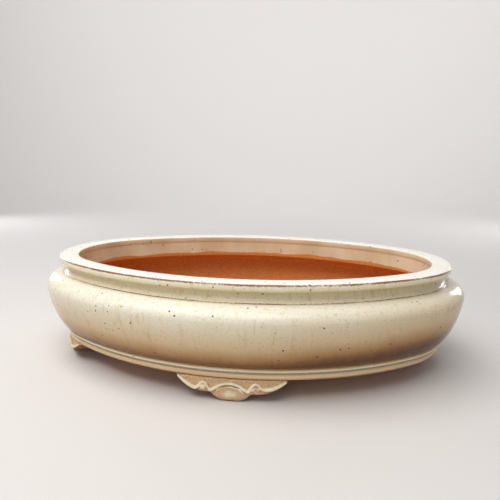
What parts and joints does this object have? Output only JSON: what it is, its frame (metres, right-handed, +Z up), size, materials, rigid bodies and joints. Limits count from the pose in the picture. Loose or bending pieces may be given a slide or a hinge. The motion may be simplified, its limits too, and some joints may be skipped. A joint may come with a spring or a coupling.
{
  "type": "bonsai pot",
  "caption": "Shallow oval bonsai pot with a flat rim lip, hollow neck, full rounded belly, beaded base band and carved cloud feet, cream glaze over bare terracotta.",
  "frame": {"origin": "centre of the pot on the plane that its feet stand on", "axes": "+X along the length, +Y across the width towards the back, +Z up"},
  "size_m": [0.418, 0.282, 0.103],
  "materials": {
    "cream_glaze": "glossy cream glaze with iron specks, breaking tan where thin; bare terracotta on the inside below the rim",
    "thin_glaze": "thin glossy tan glaze, brown where it breaks over the beads",
    "foot_glaze": "thin glaze, cream on the raised scrolls and tan in the ground",
    "bare_clay": "matt fired terracotta"
  },
  "bodies": {
    "root": {"floor_slab": "bare_clay", "belly_wall": "cream_glaze", "neck_band": "cream_glaze", "rim_lip": "cream_glaze", "base_band": "thin_glaze", "foot_front": "foot_glaze", "foot_back": "foot_glaze", "foot_left": "foot_glaze", "foot_right": "foot_glaze"}
  },
  "joints": []
}
